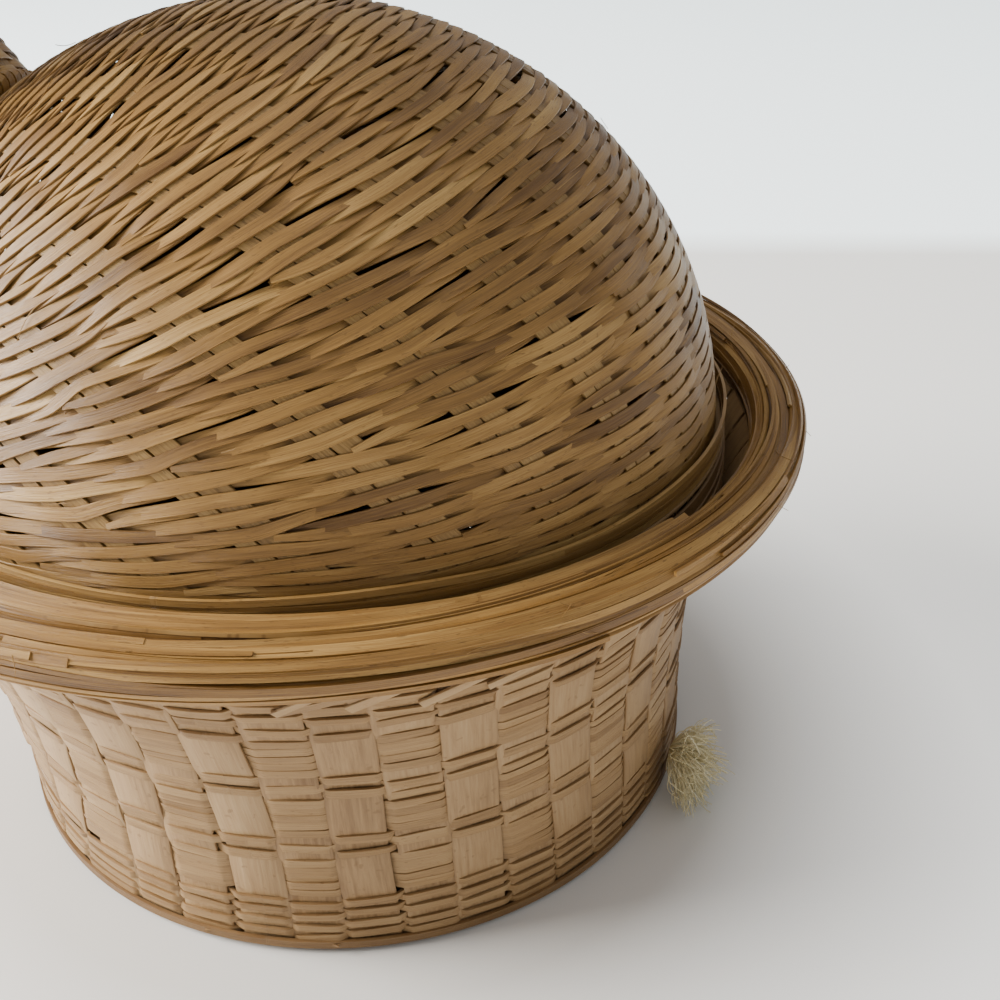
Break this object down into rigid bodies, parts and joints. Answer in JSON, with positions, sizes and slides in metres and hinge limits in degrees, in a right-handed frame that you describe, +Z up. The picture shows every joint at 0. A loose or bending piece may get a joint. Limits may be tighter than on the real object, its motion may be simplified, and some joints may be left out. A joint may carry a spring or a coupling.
{
  "type": "rabbit shaped basket",
  "caption": "Small woven bamboo basket in the shape of a sitting rabbit; its back is a domed lid that lifts off a flared, wound rim.",
  "frame": {"origin": "middle of the underside of the base", "axes": "+Z up, the rabbit looks along -Y and its tail is at +Y, +X to the rabbit's left"},
  "size_m": [0.1362, 0.1649, 0.1705],
  "materials": {
    "stake_bamboo": "flat split bamboo, pale tan, matt to satin",
    "weft_bamboo": "fine split bamboo, honey brown, satin",
    "rim_bamboo": "bamboo skin strip, warm tan, satin",
    "dome_bamboo": "fine split bamboo, varnished honey brown",
    "dark_bead": "glossy dark bead",
    "tail_fibre": "loose pale plant fibre"
  },
  "bodies": {
    "basket": {"base_and_stakes": "stake_bamboo", "foot_band": "weft_bamboo", "broad_course_1": "weft_bamboo", "narrow_course_1": "weft_bamboo", "broad_course_2": "weft_bamboo", "narrow_course_2": "weft_bamboo", "broad_course_3": "weft_bamboo", "narrow_course_3": "weft_bamboo", "top_band": "weft_bamboo", "seat_hoop": "stake_bamboo", "rim_hoop": "stake_bamboo", "rim_winding": "rim_bamboo", "tail_tuft": "tail_fibre"},
    "lid": {"lid_dome": "dome_bamboo", "lid_hoop_outer": "rim_bamboo", "lid_hoop_and_stakes": "stake_bamboo", "neck_ring": "rim_bamboo", "head": "dome_bamboo", "eye_left": "dark_bead", "eye_right": "dark_bead", "nose": "dark_bead", "ear_left": "dome_bamboo", "ear_left_edge": "rim_bamboo", "ear_right": "dome_bamboo", "ear_right_edge": "rim_bamboo"}
  },
  "joints": [
    {"name": "lid_lift", "type": "slide", "parent": "basket", "child": "lid", "axis": [0, 0, 1], "range_m": [0, 0.08]}
  ]
}
